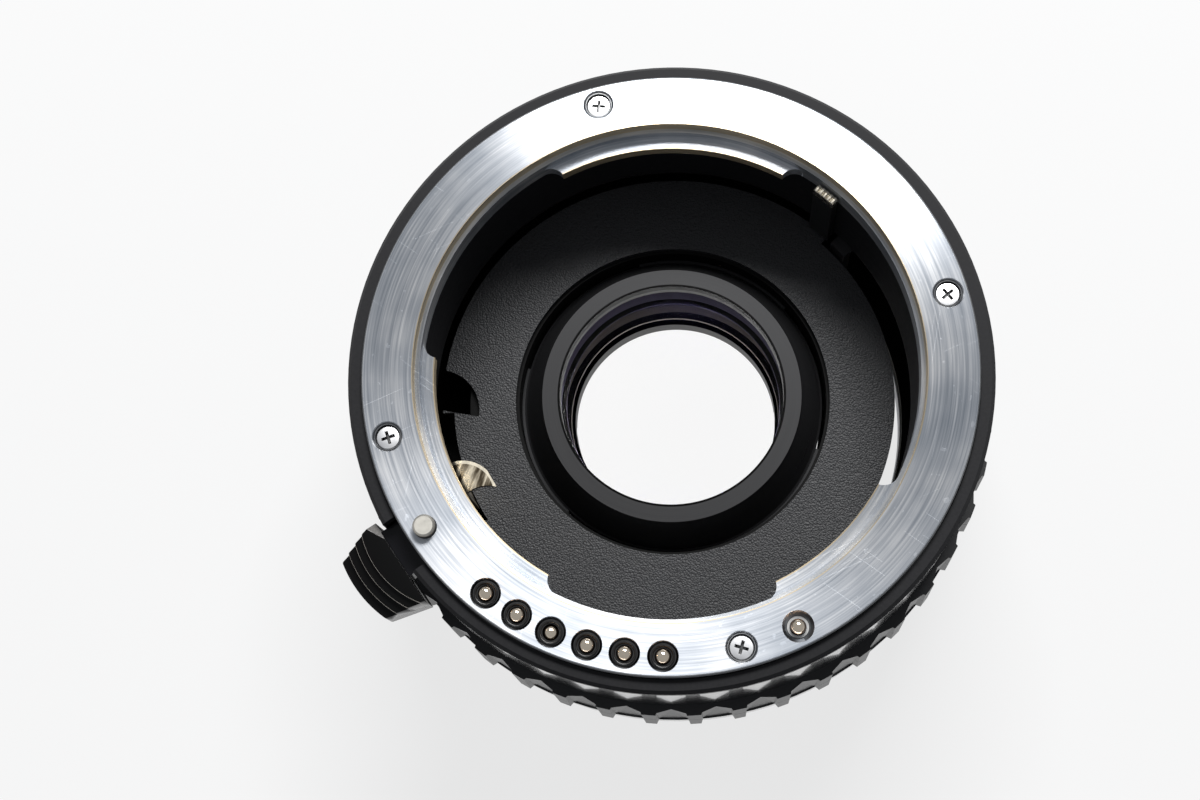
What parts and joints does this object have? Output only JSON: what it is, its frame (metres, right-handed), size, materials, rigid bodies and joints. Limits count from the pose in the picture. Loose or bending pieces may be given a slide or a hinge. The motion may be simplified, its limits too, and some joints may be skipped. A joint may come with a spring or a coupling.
{
  "type": "camera teleconverter",
  "caption": "Short black camera teleconverter with a steel three-lug bayonet on each face, spring contacts, a lock release, levers and a moving lens group.",
  "frame": {"origin": "centre of the front flange face, on the bayonet's axis", "axes": "+Z along the optical axis, out of the front face towards the lens; +Y towards the top screw's side, so that the lock pin lies at 210 degrees from +X and the contacts from 228 to 265"},
  "size_m": [0.064, 0.064, 0.0335],
  "materials": {
    "mount_steel": "circular brushed, plated",
    "screw_steel": "satin plated",
    "nickel": "bright nickel",
    "spring_steel": "plain spring wire",
    "black_metal": "matte black paint",
    "gloss_black_metal": "gloss black paint",
    "grip_plastic": "semi-gloss moulded",
    "knob_plastic": "glossy moulded",
    "rim_plastic": "matte, fine grain",
    "grained_black": "fine leather-grain black coating",
    "insulator": "moulded",
    "amber_plastic": "natural moulded",
    "flex_film": "polyimide film",
    "coupling_metal": "blackened",
    "gear_brass": "machined",
    "contact_gold": "gold plated",
    "grey_anodised": "dark grey anodised, fine lines",
    "black_anodised": "black anodised",
    "lens_glass": "polished, purple coating",
    "index_red": "glossy"
  },
  "bodies": {
    "housing": {"front_mount_ring": "mount_steel", "front_mount_screws": "screw_steel", "front_rim": "rim_plastic", "main_housing": "gloss_black_metal", "grip_ring": "grip_plastic", "mount_index_dot": "index_red", "throat_sleeve": "black_metal", "baffle_plate": "grained_black", "contact_block": "insulator", "data_contact_block": "insulator", "data_contact_collar": "amber_plastic", "contact_flex": "flex_film", "lock_spring": "spring_steel", "coupling_spring": "spring_steel", "stop_down_spring": "spring_steel", "core_frame": "black_anodised", "idler_axle": "screw_steel", "gear_bridge": "screw_steel", "rear_mount_ring": "mount_steel", "rear_mount_screws": "screw_steel", "rear_contact_insulators": "insulator", "rear_contact_pads": "contact_gold", "rear_guard": "black_metal", "contact_spring_1": "spring_steel", "contact_spring_2": "spring_steel", "contact_spring_3": "spring_steel", "contact_spring_4": "spring_steel", "contact_spring_5": "spring_steel", "contact_spring_6": "spring_steel", "contact_spring_7": "spring_steel"},
    "release": {"release_knob": "knob_plastic", "release_slide": "black_metal", "lock_pin": "nickel"},
    "aperture_coupling": {"aperture_coupling_ring": "coupling_metal", "coupling_tab": "nickel"},
    "stop_down": {"stop_down_ring": "screw_steel", "stop_down_blade": "nickel"},
    "cam": {"cam_ring": "gear_brass"},
    "optics": {"optical_barrel": "black_anodised", "cam_followers": "screw_steel", "front_retaining_ring": "grey_anodised", "lens_element_1": "lens_glass", "lens_element_2": "lens_glass", "lens_element_3": "lens_glass", "lens_element_4": "lens_glass", "front_spacer": "black_anodised", "rear_spacer": "black_anodised", "rear_retaining_ring": "black_anodised"},
    "idler": {"idler_gear": "gear_brass"},
    "coupler": {"focus_coupler": "screw_steel"},
    "contact_1": {"contact_pin_1": "nickel"},
    "contact_2": {"contact_pin_2": "nickel"},
    "contact_3": {"contact_pin_3": "nickel"},
    "contact_4": {"contact_pin_4": "nickel"},
    "contact_5": {"contact_pin_5": "nickel"},
    "contact_6": {"contact_pin_6": "nickel"},
    "contact_7": {"contact_pin_7": "nickel"}
  },
  "joints": [
    {"name": "release_slide", "type": "slide", "parent": "housing", "child": "release", "axis": [0, 0, -1], "range_m": [0, 0.0013], "stiffness_N_per_m": 400, "springref_m": -0.002, "deforming": ["lock_spring"]},
    {"name": "coupling_turn", "type": "hinge", "parent": "housing", "child": "aperture_coupling", "pos_m": [0, 0, -0.0124], "axis": [0, 0, 1], "range_deg": [-61, 0], "stiffness_Nm_per_rad": 0.02, "springref_deg": 28.65, "deforming": ["coupling_spring"]},
    {"name": "stop_down_turn", "type": "hinge", "parent": "housing", "child": "stop_down", "pos_m": [0, 0, -0.0146], "axis": [0, 0, 1], "range_deg": [-16, 0], "stiffness_Nm_per_rad": 0.03, "springref_deg": 22.92, "deforming": ["stop_down_spring"]},
    {"name": "cam_turn", "type": "hinge", "parent": "housing", "child": "cam", "pos_m": [0, 0, -0.019], "axis": [0, 0, 1], "range_deg": [0, 72.5]},
    {"name": "optics_slide", "type": "slide", "parent": "housing", "child": "optics", "axis": [0, 0, 1], "range_m": [0, 0.003]},
    {"name": "idler_turn", "type": "hinge", "parent": "housing", "child": "idler", "pos_m": [-0.01615, -0.01262, -0.0215], "axis": [0, 0, 1], "range_deg": [-424, 0]},
    {"name": "coupler_turn", "type": "hinge", "parent": "housing", "child": "coupler", "pos_m": [-0.02009, -0.0157, -0.0245], "axis": [0, 0, 1], "range_deg": [0, 635]},
    {"name": "contact_press_1", "type": "slide", "parent": "housing", "child": "contact_1", "axis": [0, 0, -1], "range_m": [0, 0.0005], "stiffness_N_per_m": 250, "springref_m": -0.001, "deforming": ["contact_spring_1"]},
    {"name": "contact_press_2", "type": "slide", "parent": "housing", "child": "contact_2", "axis": [0, 0, -1], "range_m": [0, 0.0005], "stiffness_N_per_m": 250, "springref_m": -0.001, "deforming": ["contact_spring_2"]},
    {"name": "contact_press_3", "type": "slide", "parent": "housing", "child": "contact_3", "axis": [0, 0, -1], "range_m": [0, 0.0005], "stiffness_N_per_m": 250, "springref_m": -0.001, "deforming": ["contact_spring_3"]},
    {"name": "contact_press_4", "type": "slide", "parent": "housing", "child": "contact_4", "axis": [0, 0, -1], "range_m": [0, 0.0005], "stiffness_N_per_m": 250, "springref_m": -0.001, "deforming": ["contact_spring_4"]},
    {"name": "contact_press_5", "type": "slide", "parent": "housing", "child": "contact_5", "axis": [0, 0, -1], "range_m": [0, 0.0005], "stiffness_N_per_m": 250, "springref_m": -0.001, "deforming": ["contact_spring_5"]},
    {"name": "contact_press_6", "type": "slide", "parent": "housing", "child": "contact_6", "axis": [0, 0, -1], "range_m": [0, 0.0005], "stiffness_N_per_m": 250, "springref_m": -0.001, "deforming": ["contact_spring_6"]},
    {"name": "contact_press_7", "type": "slide", "parent": "housing", "child": "contact_7", "axis": [0, 0, -1], "range_m": [0, 0.0005], "stiffness_N_per_m": 250, "springref_m": -0.001, "deforming": ["contact_spring_7"]}
  ],
  "couplings": [
    {"joint": "cam_turn", "follows": "optics_slide", "rad_per_m": 418.88},
    {"joint": "idler_turn", "follows": "optics_slide", "rad_per_m": -2443.5},
    {"joint": "coupler_turn", "follows": "optics_slide", "rad_per_m": 3665.2}
  ]
}
